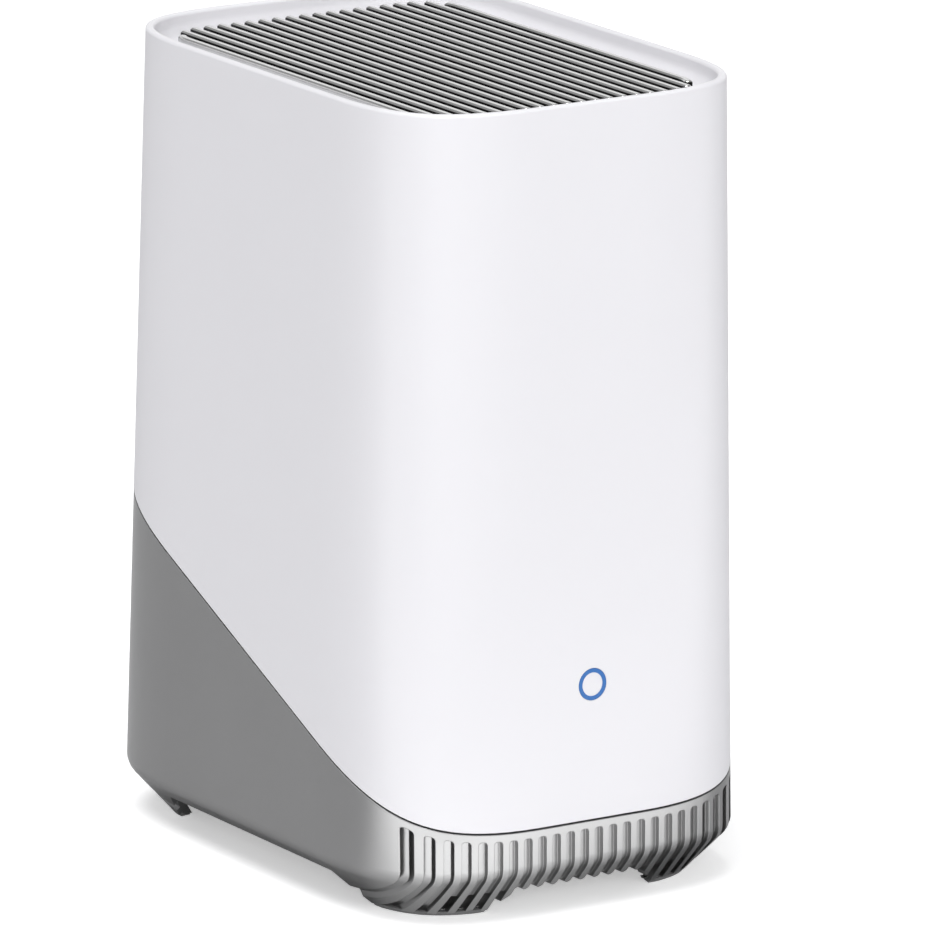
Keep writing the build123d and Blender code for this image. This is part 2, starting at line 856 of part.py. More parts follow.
chassis.part.label = "chassis"
export_step(chassis.part, "parts/chassis.step")

# Antennas: a thin board with a raised track on each flap
antenna_center_x = web_right - antenna_flange_width / 2
antenna_center_height = (antenna_flange_bottom + antenna_flange_top) / 2


def antenna(end):
    """Antenna board on the outside of the flap at one end, with its track."""
    face = Plane(
        origin=(antenna_center_x, end * chassis_half_length, antenna_center_height),
        x_dir=(-end, 0, 0),
        z_dir=(0, end, 0),
    )
    with BuildPart() as board:
        with BuildSketch(face):
            RectangleRounded(antenna_width, antenna_length, antenna_corner_radius)
        extrude(amount=antenna_thickness)
        with BuildSketch(face.offset(antenna_thickness)):
            with GridLocations(0, antenna_track_pitch, 1, antenna_track_count):
                Rectangle(antenna_track_length, antenna_track_width)
            Rectangle(antenna_track_width, (antenna_track_count - 1) * antenna_track_pitch)
        extrude(amount=antenna_track_rise)
    return board.part


antenna_front = antenna(-1)
antenna_front.label = "antenna_front"
export_step(antenna_front, "parts/antenna_front.step")

antenna_rear = antenna(1)
antenna_rear.label = "antenna_rear"
export_step(antenna_rear, "parts/antenna_rear.step")

# Drive cage: a closed-top sleeve for one thin drive, open at the bottom
with BuildPart() as drive_cage:
    with BuildSketch(Plane.XY.offset(floor_top)):
        with Locations((cage_center, 0)):
            Rectangle(cage_width, cage_length)
            Rectangle(bay_width, bay_length, mode=Mode.SUBTRACT)
    extrude(amount=bay_height)
    with BuildSketch(Plane.XY.offset(floor_top + bay_height)):
        with Locations((cage_center, 0)):
            Rectangle(cage_width, cage_length)
            Rectangle(socket_width + 2 * fit_gap, socket_length + 2 * fit_gap, mode=Mode.SUBTRACT)
        with Locations((cage_center, -riser_screw_reach), (cage_center, riser_screw_reach)):
            Circle(small_screw_diameter / 2 + screw_gap, mode=Mode.SUBTRACT)
    extrude(amount=cage_wall)
    with BuildSketch(Plane(origin=(web_left, 0, 0), x_dir=(0, 1, 0), z_dir=(1, 0, 0))):
        with Locations(*cage_screw_places):
            Circle(small_screw_diameter / 2 + screw_gap)
    extrude(amount=-cage_wall, mode=Mode.SUBTRACT)
    with BuildSketch(Plane(origin=(cage_center, 0, cage_vent_height), x_dir=(0, 1, 0), z_dir=(-1, 0, 0))):
        with GridLocations(cage_vent_pitch, 0, cage_vent_count, 1):
            SlotOverall(cage_vent_length, cage_vent_width, rotation=90)
    extrude(amount=cage_width, mode=Mode.SUBTRACT)
drive_cage.part.label = "drive_cage"
export_step(drive_cage.part, "parts/drive_cage.step")

cage_screws = pan_screws(
    web_plane,
    cage_screw_places,
    small_screw_diameter,
    chassis_wall + cage_wall - close_gap,
    small_screw_head_diameter,
    small_screw_head_height,
)
cage_screws.label = "cage_screws"
export_step(cage_screws, "parts/cage_screws.step")

# Riser board on the cage, with the socket that a drive plugs into
with BuildPart() as sata_board:
    with BuildSketch(Plane.XY.offset(cage_top)):
        with Locations((cage_center, 0)):
            Rectangle(cage_width - 2 * fit_gap, riser_length)
        with Locations((cage_center, -riser_screw_reach), (cage_center, riser_screw_reach)):
            Circle(small_screw_diameter / 2 + screw_gap, mode=Mode.SUBTRACT)
    extrude(amount=riser_thickness)
sata_board.part.label = "sata_board"
export_step(sata_board.part, "parts/sata_board.step")

with BuildPart() as sata_socket:
    with BuildSketch(Plane.XY.offset(cage_top)):
        with Locations((cage_center, 0)):
            Rectangle(socket_width, socket_length)
    extrude(amount=-socket_drop)
    with BuildSketch(Plane.XY.offset(cage_top - socket_drop)):
        with Locations((cage_center, 0)):
            with GridLocations(0, socket_key_pitch, 1, 2):
                Rectangle(socket_slot_width, socket_slot_length)
    extrude(amount=socket_slot_depth, mode=Mode.SUBTRACT)
sata_socket.part.label = "sata_socket"
export_step(sata_socket.part, "parts/sata_socket.step")

sata_screws = pan_screws(
    Plane.XY.offset(cage_top + riser_thickness),
    [(cage_center, -riser_screw_reach), (cage_center, riser_screw_reach)],
    small_screw_diameter,
    riser_thickness + cage_wall - close_gap,
    small_screw_head_diameter,
    small_screw_head_height,
)
sata_screws.label = "sata_screws"
export_step(sata_screws, "parts/sata_screws.step")

# Main board, upright on the standoffs of the web, and what stands on its right face
board_back = Plane(origin=(board_face - board_thickness, 0, 0), x_dir=(0, 1, 0), z_dir=(1, 0, 0))
board_plane = Plane(origin=(board_face, 0, 0), x_dir=(0, 1, 0), z_dir=(1, 0, 0))
sink_pin_places = [
    (sink_center_y + end * sink_pin_half, sink_center_height + end * sink_pin_half) for end in (-1, 1)
]

with BuildPart() as main_board:
    with BuildSketch(board_back):
        with Locations((board_rear - board_length / 2, board_bottom + board_height / 2)):
            RectangleRounded(board_length, board_height, board_corner_radius)
        with Locations(*standoff_places):
            Circle(screw_diameter / 2 + screw_gap, mode=Mode.SUBTRACT)
        with Locations(*sink_pin_places):
            Circle(sink_pin_diameter / 2 + screw_gap, mode=Mode.SUBTRACT)
    extrude(amount=board_thickness)
main_board.part.label = "main_board"
export_step(main_board.part, "parts/main_board.step")

board_screws = pan_screws(
    board_plane,
    standoff_places,
    screw_diameter,
    board_screw_length,
    screw_head_diameter,
    screw_head_height,
)
board_screws.label = "board_screws"
export_step(board_screws, "parts/board_screws.step")

with BuildPart() as processor:
    with BuildSketch(board_plane):
        with Locations((sink_center_y, sink_center_height)):
            RectangleRounded(processor_size, processor_size, chip_corner_radius)
    extrude(amount=processor_height)
processor.part.label = "processor"
export_step(processor.part, "parts/processor.step")

with BuildPart() as thermal_pad:
    with BuildSketch(board_plane.offset(processor_height)):
        with Locations((sink_center_y, sink_center_height)):
            Rectangle(thermal_pad_size, thermal_pad_size)
    extrude(amount=thermal_pad_thickness)
thermal_pad.part.label = "thermal_pad"
export_step(thermal_pad.part, "parts/thermal_pad.step")

sink_plane = board_plane.offset(processor_height + thermal_pad_thickness)
sink_fin_pitch = (sink_size - sink_fin_thickness) / (sink_fin_count - 1)
with BuildPart() as heat_sink:
    with BuildSketch(sink_plane):
        with Locations((sink_center_y, sink_center_height)):
            Rectangle(sink_size, sink_size)
    extrude(amount=sink_base)
    with BuildSketch(sink_plane.offset(sink_base)):
        with Locations((sink_center_y, sink_center_height)):
            with GridLocations(sink_fin_pitch, 0, sink_fin_count, 1):
                Rectangle(sink_fin_thickness, sink_size)
    extrude(amount=sink_fin_height)
    with BuildSketch(sink_plane.offset(sink_base)):
        with Locations(*sink_pin_places):
            Rectangle(sink_corner_cut, sink_corner_cut)
    extrude(amount=sink_fin_height, mode=Mode.SUBTRACT)
    with BuildSketch(sink_plane):
        with Locations(*sink_pin_places):
            Circle(sink_pin_diameter / 2 + screw_gap)
    extrude(amount=sink_base, mode=Mode.SUBTRACT)
heat_sink.part.label = "heat_sink"
export_step(heat_sink.part, "parts/heat_sink.step")

sink_pins = pan_screws(
    sink_plane.offset(sink_base),
    sink_pin_places,
    sink_pin_diameter,
    sink_base + thermal_pad_thickness + processor_height + board_thickness + sink_pin_proud,
    sink_pin_head_diameter,
    sink_pin_head_height,
)
sink_pins.label = "sink_pins"
export_step(sink_pins, "parts/sink_pins.step")

with BuildPart() as memory_chips:
    with BuildSketch(board_plane):
        with Locations((sink_center_y, memory_center_height)):
            with GridLocations(memory_spacing, 0, 2, 1):
                RectangleRounded(memory_size, memory_size, chip_corner_radius)
    extrude(amount=memory_height)
memory_chips.part.label = "memory_chips"
export_step(memory_chips.part, "parts/memory_chips.step")

with BuildPart() as radio_shield:
    with BuildSketch(board_plane):
        with Locations((radio_center_y, radio_center_height)):
            RectangleRounded(radio_length, radio_width, radio_corner_radius)
    extrude(amount=radio_height)
    fillet(radio_shield.faces().sort_by(Axis.X)[-1].edges(), radio_edge_radius)
radio_shield.part.label = "radio_shield"
export_step(radio_shield.part, "parts/radio_shield.step")

with BuildPart() as capacitors:
    with BuildSketch(board_plane):
        with Locations((capacitor_center_y, capacitor_center_height)):
            with GridLocations(0, capacitor_spacing, 1, capacitor_count):
                Circle(capacitor_diameter / 2)
    extrude(amount=capacitor_height)
    fillet(capacitors.faces().sort_by(Axis.X)[-capacitor_count:].edges(), capacitor_edge_radius)
capacitors.part.label = "capacitors"
export_step(capacitors.part, "parts/capacitors.step")


# Rear connectors, on the board's edge with their mouths just inside the rear wall
def port_plane(height, x):
    """Upright plane on a connector's mouth, level with the rear wall at this height."""
    return rear_plane(height, x).offset(-port_setback - port_lean)


lan_plane = port_plane(lan_center_height, 0)
lan_cavity_x = lan_height / 2 - lan_cavity_floor - lan_cavity_height / 2
with BuildPart() as lan_jack:
    with BuildSketch(lan_plane):
        Rectangle(lan_height, lan_width)
    extrude(amount=-lan_length)
    with BuildSketch(lan_plane):
        with Locations((lan_cavity_x, 0)):
            Rectangle(lan_cavity_height, lan_cavity_width)
        with Locations((lan_cavity_x - lan_cavity_height / 2 - lan_latch_height / 2, 0)):
            Rectangle(lan_latch_height, lan_latch_width)
    extrude(amount=-lan_cavity_depth, mode=Mode.SUBTRACT)
lan_jack.part.label = "lan_jack"
export_step(lan_jack.part, "parts/lan_jack.step")

with BuildPart() as lan_contacts:
    with BuildSketch(lan_plane.offset(-lan_cavity_depth)):
        with Locations((lan_cavity_x + lan_cavity_height / 2 - lan_contact_size / 2, 0)):
            with GridLocations(0, lan_contact_pitch, 1, lan_contact_count):
                Rectangle(lan_contact_size, lan_contact_size)
    extrude(amount=lan_contact_length)
lan_contacts.part.label = "lan_contacts"
export_step(lan_contacts.part, "parts/lan_contacts.step")

usb_plane = port_plane(usb_center_height, usb_axis_x)
with BuildPart() as usb_port:
    with BuildSketch(usb_plane):
        RectangleRounded(usb_height, usb_width, usb_corner_radius)
        RectangleRounded(
            usb_height - 2 * usb_wall,
            usb_width - 2 * usb_wall,
            usb_corner_radius - usb_wall,
            mode=Mode.SUBTRACT,
        )
    extrude(amount=-usb_length)
usb_port.part.label = "usb_port"
export_step(usb_port.part, "parts/usb_port.step")

with BuildPart() as usb_tongue:
    with BuildSketch(usb_plane.offset(-usb_length)):
        RectangleRounded(
            usb_height - 2 * usb_wall, usb_width - 2 * usb_wall, usb_corner_radius - usb_wall
        )
    extrude(amount=usb_block_length)
    with BuildSketch(usb_plane.offset(-usb_length)):
        with Locations((usb_tongue_rise, 0)):
            Rectangle(usb_tongue_thickness, usb_tongue_width)
    extrude(amount=usb_length - usb_tongue_setback)
usb_tongue.part.label = "usb_tongue"
export_step(usb_tongue.part, "parts/usb_tongue.step")

power_plane = port_plane(power_center_height, power_axis_x)
with BuildPart() as power_jack:
    with BuildSketch(power_plane):
        Rectangle(power_height, power_width)
    extrude(amount=-power_length)
    with BuildSketch(power_plane):
        Circle(power_bore / 2)
    extrude(amount=-power_bore_depth, mode=Mode.SUBTRACT)
power_jack.part.label = "power_jack"
export_step(power_jack.part, "parts/power_jack.step")

with BuildPart() as power_pin:
    with BuildSketch(power_plane.offset(-power_bore_depth)):
        Circle(power_pin_diameter / 2)
    extrude(amount=power_bore_depth - power_pin_setback)
    fillet(power_pin.faces().sort_by(Axis.Y)[-1].edges(), power_pin_end_radius)
power_pin.part.label = "power_pin"
export_step(power_pin.part, "parts/power_pin.step")

# Sync button in the rear wall, with the plunger of its switch behind it
button_plane = rear_plane(button_center_height, switch_axis_x)
button_flange_depth = housing_wall + button_travel
button_stem_end = button_flange_depth + button_flange_thickness + button_stem_length
with BuildPart() as sync_button:
    with BuildSketch(button_plane.offset(-button_flange_depth)):
        Circle(button_diameter / 2)
    extrude(amount=button_flange_depth + button_proud)
    fillet(sync_button.faces().sort_by(Axis.Y)[-1].edges(), button_edge_radius)
    with BuildSketch(button_plane.offset(-button_flange_depth)):
        Circle(button_flange_diameter / 2)
    extrude(amount=-button_flange_thickness)
    with BuildSketch(button_plane.offset(-button_flange_depth - button_flange_thickness)):
        Circle(button_stem_diameter / 2)
    extrude(amount=-button_stem_length)
sync_button.part.label = "sync_button"
export_step(sync_button.part, "parts/sync_button.step")


def switch_body(plane, front, plunger, travel):
    """Square switch on the board, its front a depth inside the plane, open for its plunger."""
    with BuildPart() as body:
        with BuildSketch(plane.offset(-front)):
            with Locations((switch_axis_height - switch_body_height / 2, 0)):
                Rectangle(switch_body_height, switch_size)
        extrude(amount=-switch_length)
        with BuildSketch(plane.offset(-front)):
            Circle(plunger / 2 + close_gap)
        extrude(amount=-plunger_hold - travel - close_gap, mode=Mode.SUBTRACT)
    return body.part


def switch_plunger(plane, back, front, diameter):
    """Round plunger from the switch to what presses it."""
    with BuildPart() as plunger:
        with BuildSketch(plane.offset(-back)):
            Circle(diameter / 2)
        extrude(amount=back - front)
    return plunger.part


sync_switch_front = button_stem_end + plunger_proud
sync_switch = switch_body(button_plane, sync_switch_front, plunger_diameter, button_travel)
sync_switch.label = "sync_switch"
export_step(sync_switch, "parts/sync_switch.step")

sync_plunger = switch_plunger(
    button_plane, sync_switch_front + plunger_hold, button_stem_end, plunger_diameter
)
sync_plunger.label = "sync_plunger"
export_step(sync_plunger, "parts/sync_plunger.step")

reset_plane = rear_plane(reset_center_height, switch_axis_x)
reset_front = housing_wall + switch_setback
reset_switch = switch_body(reset_plane, reset_front, reset_plunger_diameter, reset_travel)
reset_switch.label = "reset_switch"
export_step(reset_switch, "parts/reset_switch.step")

reset_plunger = switch_plunger(
    reset_plane, reset_front + plunger_hold, reset_front - reset_plunger_proud, reset_plunger_diameter
)
reset_plunger.label = "reset_plunger"
export_step(reset_plunger, "parts/reset_plunger.step")

# Front light: a clear ring with a white core, a round board behind it and its lamp
with BuildPart() as light_ring:
    with BuildSketch(light_plane):
        Circle(light_diameter / 2)
        Circle(light_diameter / 2 - light_stroke, mode=Mode.SUBTRACT)
    extrude(amount=-shell_wall - close_gap)
    with BuildSketch(light_plane.offset(-shell_wall - close_gap)):
        Circle(light_flange_diameter / 2)
        Circle(light_diameter / 2 - light_stroke, mode=Mode.SUBTRACT)
    extrude(amount=-light_flange_thickness)
light_ring.part.label = "light_ring"
export_step(light_ring.part, "parts/light_ring.step")

with BuildPart() as light_core:
    with BuildSketch(light_plane.offset(-light_core_setback)):
        Circle(light_diameter / 2 - light_stroke)
    extrude(amount=light_core_setback - shell_wall - close_gap - light_flange_thickness)
light_core.part.label = "light_core"
export_step(light_core.part, "parts/light_core.step")

with BuildPart() as light_board:
    with BuildSketch(light_plane.offset(-light_board_depth)):
        RectangleRounded(light_board_size + light_board_margin, light_board_size, light_board_radius)
        with Locations(*light_post_places):
            Circle(small_screw_diameter / 2 + screw_gap, mode=Mode.SUBTRACT)
    extrude(amount=-light_board_thickness)
light_board.part.label = "light_board"
export_step(light_board.part, "parts/light_board.step")

with BuildPart() as light_chip:
    with BuildSketch(light_plane.offset(-light_board_depth)):
        Rectangle(light_chip_size, light_chip_size)
    extrude(amount=light_chip_height)
light_chip.part.label = "light_chip"
export_step(light_chip.part, "parts/light_chip.step")

light_screws = pan_screws(
    Plane(
        origin=light_plane.offset(-light_board_depth - light_board_thickness).origin,
        x_dir=(1, 0, 0),
        z_dir=(0, cos(draft_angle), -sin(draft_angle)),
    ),
    light_post_places,
    small_screw_diameter,
    light_screw_length,
    small_screw_head_diameter,
    small_screw_head_height,
)
light_screws.label = "light_screws"
export_step(light_screws, "parts/light_screws.step")

# Speaker over the sound holes, facing down
speaker_bottom = floor_top + speaker_gasket_thickness
with BuildPart() as speaker_gasket:
    with BuildSketch(Plane.XY.offset(floor_top)):
        with Locations((speaker_x, speaker_y)):
            Circle(speaker_mouth / 2 + speaker_gasket_width)
            Circle(speaker_mouth / 2, mode=Mode.SUBTRACT)
    extrude(amount=speaker_gasket_thickness)
speaker_gasket.part.label = "speaker_gasket"
export_step(speaker_gasket.part, "parts/speaker_gasket.step")

with BuildPart() as speaker_basket:
    with BuildSketch(Plane.XY.offset(speaker_bottom)):
        with Locations((speaker_x, speaker_y)):
            RectangleRounded(speaker_size, speaker_size, speaker_corner_radius)
    extrude(amount=speaker_flange)
    with BuildSketch(Plane.XY.offset(speaker_bottom + speaker_flange)):
        with Locations((speaker_x, speaker_y)):
            Circle(speaker_mouth / 2 + speaker_basket_wall)
    with BuildSketch(Plane.XY.offset(speaker_bottom + speaker_basket_height)):
        with Locations((speaker_x, speaker_y)):
            Circle(speaker_basket_neck)
    loft()
    with BuildSketch(Plane.XY.offset(speaker_bottom)):
        with Locations((speaker_x, speaker_y)):
            Circle(speaker_mouth / 2)
    extrude(amount=speaker_flange, mode=Mode.SUBTRACT)
    with BuildSketch(Plane.XY.offset(speaker_bottom + speaker_flange)):
        with Locations((speaker_x, speaker_y)):
            Circle(speaker_mouth / 2)
    with BuildSketch(Plane.XY.offset(speaker_bottom + speaker_basket_height - speaker_basket_wall)):
        with Locations((speaker_x, speaker_y)):
            Circle(speaker_basket_neck - speaker_basket_wall)
    loft(mode=Mode.SUBTRACT)
    with BuildSketch(Plane.XY.offset(speaker_bottom)):
        with Locations(*speaker_screw_places):
            Circle(small_screw_diameter / 2 + screw_gap)
    extrude(amount=speaker_flange, mode=Mode.SUBTRACT)
speaker_basket.part.label = "speaker_basket"
export_step(speaker_basket.part, "parts/speaker_basket.step")

with BuildPart() as speaker_magnet:
    with BuildSketch(Plane.XY.offset(speaker_bottom + speaker_basket_height)):
        with Locations((speaker_x, speaker_y)):
            Circle(speaker_magnet_diameter / 2)
    extrude(amount=speaker_magnet_height)
    fillet(speaker_magnet.faces().sort_by(Axis.Z)[-1].edges(), speaker_magnet_radius)
speaker_magnet.part.label = "speaker_magnet"
export_step(speaker_magnet.part, "parts/speaker_magnet.step")

cone_base = speaker_bottom + speaker_flange
with BuildPart() as speaker_cone:
    with BuildSketch(Plane(origin=(speaker_x, speaker_y, cone_base), x_dir=(1, 0, 0), z_dir=(0, -1, 0))):
        with BuildLine():
            Polyline(
                (0, speaker_cone_drop),
                (speaker_cone_neck, speaker_cone_drop),
                (speaker_mouth / 2 - speaker_cone_land, 0),
                (speaker_mouth / 2, 0),
                (speaker_mouth / 2, -speaker_cone_thickness),
                (speaker_mouth / 2 - speaker_cone_land, -speaker_cone_thickness),
                (speaker_cone_neck, speaker_cone_drop - speaker_cone_thickness),
                (0, speaker_cone_drop - speaker_cone_thickness),
                close=True,
            )
        make_face()
    revolve(axis=Axis((speaker_x, speaker_y, 0), (0, 0, 1)))
speaker_cone.part.label = "speaker_cone"
export_step(speaker_cone.part, "parts/speaker_cone.step")

speaker_screws = pan_screws(
    Plane.XY.offset(speaker_bottom + speaker_flange),
    speaker_screw_places,
    small_screw_diameter,
    speaker_flange + speaker_gasket_thickness + speaker_screw_bite,
    small_screw_head_diameter,
    small_screw_head_height,
)
speaker_screws.label = "speaker_screws"
export_step(speaker_screws, "parts/speaker_screws.step")

# Cooling fan: square frame with its bearing on four struts, coil, and a bladed cup that turns
fan_top = fan_bottom + fan_thickness
cup_bottom = fan_bottom + fan_hub_plate + fan_cup_bottom_gap
cup_top = fan_top - fan_cup_top_gap
with BuildPart() as fan_frame:
    with BuildSketch(Plane.XY.offset(fan_bottom)):
        RectangleRounded(fan_size, fan_size, fan_corner_radius)
        Circle(fan_bore / 2, mode=Mode.SUBTRACT)
        with Locations(*corners(fan_screw_half, fan_screw_half)):
            Circle(screw_diameter / 2 + screw_gap, mode=Mode.SUBTRACT)
    extrude(amount=fan_thickness)
    with BuildSketch(Plane.XY.offset(fan_bottom)):
        Circle(fan_hub_diameter / 2)
        with PolarLocations(fan_bore / 4, fan_strut_count, fan_strut_turn):
            Rectangle(fan_bore / 2 + close_gap, fan_strut_width)
    extrude(amount=fan_hub_plate)
    with BuildSketch(Plane.XY.offset(fan_bottom)):
        Circle(fan_bearing_diameter / 2)
    extrude(amount=fan_bearing_height)
    with BuildSketch(Plane.XY.offset(fan_bottom + fan_hub_plate)):
        Circle(fan_shaft_diameter / 2 + fan_shaft_gap)
    extrude(amount=fan_thickness, mode=Mode.SUBTRACT)
fan_frame.part.label = "fan_frame"
export_step(fan_frame.part, "parts/fan_frame.step")

with BuildPart() as fan_stator:
    with BuildSketch(Plane.XY.offset(fan_bottom + fan_hub_plate)):
        Circle(fan_stator_diameter / 2)
        with PolarLocations(fan_stator_diameter / 2, fan_strut_count):
            Circle(fan_stator_notch / 2, mode=Mode.SUBTRACT)
        Circle(fan_bearing_diameter / 2 + close_gap, mode=Mode.SUBTRACT)
    extrude(amount=fan_stator_height)
fan_stator.part.label = "fan_stator"
export_step(fan_stator.part, "parts/fan_stator.step")


def blade_plane(distance, pitch):
    """Plane across a blade at this distance from the axis, turned by its pitch."""
    turn = radians(pitch)
    return Plane(
        origin=(distance, 0, (cup_bottom + cup_top) / 2), x_dir=(0, cos(turn), sin(turn)), z_dir=(1, 0, 0)
    )


root_distance = fan_cup_diameter / 2 - fan_cup_wall / 2
tip_distance = fan_bore / 2 - fan_tip_gap
with BuildPart() as fan_blade:
    with BuildSketch(blade_plane(root_distance, fan_blade_root_pitch)):
        SlotOverall(fan_blade_root_chord, fan_blade_thickness)
    with BuildSketch(blade_plane(tip_distance, fan_blade_tip_pitch)):
        SlotOverall(fan_blade_tip_chord, fan_blade_thickness)
    loft()

with BuildPart() as fan_rotor:
    with BuildSketch(Plane.XY.offset(cup_bottom)):
        Circle(fan_cup_diameter / 2)
    extrude(amount=cup_top - cup_bottom)
    fillet(fan_rotor.faces().sort_by(Axis.Z)[-1].edges(), fan_cup_radius)
    with PolarLocations(0, fan_blade_count):
        add(fan_blade.part)
    with BuildSketch(Plane.XY.offset(cup_bottom - overrun)):
        Circle(fan_cup_diameter / 2 - fan_cup_wall)
    extrude(amount=cup_top - cup_bottom + overrun - fan_cup_wall, mode=Mode.SUBTRACT)
    with BuildSketch(Plane.XY.offset(cup_top - fan_cup_wall)):
        Circle(fan_shaft_diameter / 2)
    extrude(amount=fan_bottom + fan_hub_plate + close_gap - cup_top + fan_cup_wall)
fan_rotor.part.label = "fan_rotor"
export_step(fan_rotor.part, "parts/fan_rotor.step")

fan_screws = pan_screws(
    Plane.XY.offset(fan_top),
    corners(fan_screw_half, fan_screw_half),
    screw_diameter,
    fan_screw_length,
    screw_head_diameter,
    screw_head_height,
)
fan_screws.label = "fan_screws"
export_step(fan_screws, "parts/fan_screws.step")

# Screws from below, which hold the chassis on the floor
base_screws = pan_screws(
    Plane(origin=(0, 0, floor_bottom + screw_head_height), x_dir=(1, 0, 0), z_dir=(0, 0, -1)),
    base_screw_places,
    screw_diameter,
    base_screw_length,
    screw_head_diameter,
    screw_head_height,
)
base_screws.label = "base_screws"
export_step(base_screws, "parts/base_screws.step")
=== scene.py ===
from math import cos, radians, sin

import bmesh
import bpy
from mathutils import Matrix, Vector


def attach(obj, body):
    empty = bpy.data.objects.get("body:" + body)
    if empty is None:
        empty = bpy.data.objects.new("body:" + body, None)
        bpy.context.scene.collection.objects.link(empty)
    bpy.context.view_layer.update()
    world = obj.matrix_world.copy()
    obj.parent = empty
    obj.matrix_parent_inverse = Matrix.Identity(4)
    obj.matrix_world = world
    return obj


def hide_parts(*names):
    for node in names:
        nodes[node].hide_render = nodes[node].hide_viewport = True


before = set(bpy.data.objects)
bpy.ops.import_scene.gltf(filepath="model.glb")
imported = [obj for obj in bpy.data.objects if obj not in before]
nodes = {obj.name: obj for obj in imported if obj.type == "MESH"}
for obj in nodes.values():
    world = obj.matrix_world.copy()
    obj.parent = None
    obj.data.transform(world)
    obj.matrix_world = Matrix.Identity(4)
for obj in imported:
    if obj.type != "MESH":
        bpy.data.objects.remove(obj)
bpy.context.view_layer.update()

# Base housing. The lower body, which carries everything else, with its band of slots and its four
# open feet. It is moulded in a hard plastic and sprayed with a thin satin coat of metallic grey,
# which lies a little uneven and softens the sharp edges.
housing_light = (0.292, 0.292, 0.292)
housing_dark = (0.267, 0.267, 0.267)
housing_edge = 0.00035
housing_edge_samples = 6
cloud_detail = 3
grain_detail = 2


def make_skin_group():
    """Group that puts out a clouded colour, an uneven roughness and a fine height.

    No real part is one even colour. Each has faint clouds of shade, uneven gloss and a fine skin,
    and every finish below takes them from this group with its own values.
    """
    group = bpy.data.node_groups.new("clouded_skin", "ShaderNodeTree")
    for label, kind in (
        ("Light Colour", "NodeSocketColor"),
        ("Dark Colour", "NodeSocketColor"),
        ("Gloss Roughness", "NodeSocketFloat"),
        ("Dull Roughness", "NodeSocketFloat"),
        ("Cloud Scale", "NodeSocketFloat"),
        ("Grain Scale", "NodeSocketFloat"),
        ("Stretch", "NodeSocketVector"),
    ):
        group.interface.new_socket(name=label, in_out="INPUT", socket_type=kind)
    for label, kind in (
        ("Colour", "NodeSocketColor"),
        ("Roughness", "NodeSocketFloat"),
        ("Height", "NodeSocketFloat"),
    ):
        group.interface.new_socket(name=label, in_out="OUTPUT", socket_type=kind)
    inside = group.nodes.new("NodeGroupInput")
    outside = group.nodes.new("NodeGroupOutput")
    place = group.nodes.new("ShaderNodeTexCoord")
    stretched = group.nodes.new("ShaderNodeVectorMath")
    stretched.operation = "MULTIPLY"
    group.links.new(place.outputs["Object"], stretched.inputs[0])
    group.links.new(inside.outputs["Stretch"], stretched.inputs[1])
    clouds = group.nodes.new("ShaderNodeTexNoise")
    clouds.inputs["Detail"].default_value = cloud_detail
    group.links.new(stretched.outputs[0], clouds.inputs["Vector"])
    group.links.new(inside.outputs["Cloud Scale"], clouds.inputs["Scale"])
    grain = group.nodes.new("ShaderNodeTexNoise")
    grain.inputs["Detail"].default_value = grain_detail
    group.links.new(stretched.outputs[0], grain.inputs["Vector"])
    group.links.new(inside.outputs["Grain Scale"], grain.inputs["Scale"])
    shade = group.nodes.new("ShaderNodeMix")
    shade.data_type = "RGBA"
    group.links.new(clouds.outputs["Fac"], shade.inputs["Factor"])
    group.links.new(inside.outputs["Light Colour"], shade.inputs["A"])
    group.links.new(inside.outputs["Dark Colour"], shade.inputs["B"])
    gloss = group.nodes.new("ShaderNodeMapRange")
    group.links.new(grain.outputs["Fac"], gloss.inputs["Value"])
    group.links.new(inside.outputs["Gloss Roughness"], gloss.inputs["To Min"])
    group.links.new(inside.outputs["Dull Roughness"], gloss.inputs["To Max"])
    group.links.new(shade.outputs["Result"], outside.inputs["Colour"])
    group.links.new(gloss.outputs["Result"], outside.inputs["Roughness"])
    group.links.new(grain.outputs["Fac"], outside.inputs["Height"])
    return group


skin_group = make_skin_group()


def skin_material(
    name, light, dark, gloss, dull, depth, metal=0.0, clouds=30, grain=3000, stretch=(1, 1, 1)
):
    """Finish with the clouded skin, whose grain is as deep as depth in metres."""
    material = bpy.data.materials.new(name)
    material.use_nodes = True
    tree = material.node_tree
    shader = tree.nodes["Principled BSDF"]
    skin = tree.nodes.new("ShaderNodeGroup")
    skin.name = "skin"
    skin.node_tree = skin_group
    skin.inputs["Light Colour"].default_value = (*light, 1)
    skin.inputs["Dark Colour"].default_value = (*dark, 1)
    skin.inputs["Gloss Roughness"].default_value = gloss
    skin.inputs["Dull Roughness"].default_value = dull
    skin.inputs["Cloud Scale"].default_value = clouds
    skin.inputs["Grain Scale"].default_value = grain
    skin.inputs["Stretch"].default_value = stretch
    relief = tree.nodes.new("ShaderNodeBump")
    relief.name = "relief"
    relief.inputs["Distance"].default_value = depth
    relief.inputs["Strength"].default_value = 1
    tree.links.new(skin.outputs["Colour"], shader.inputs["Base Color"])
    tree.links.new(skin.outputs["Roughness"], shader.inputs["Roughness"])
    tree.links.new(skin.outputs["Height"], relief.inputs["Height"])
    tree.links.new(relief.outputs["Normal"], shader.inputs["Normal"])
    shader.inputs["Metallic"].default_value = metal
    return material


def finish_nodes(material, *names):
    """Gives the named solids this material in place of their plain one."""
    for name in names:
        nodes[name].data.materials.clear()
        nodes[name].data.materials.append(material)


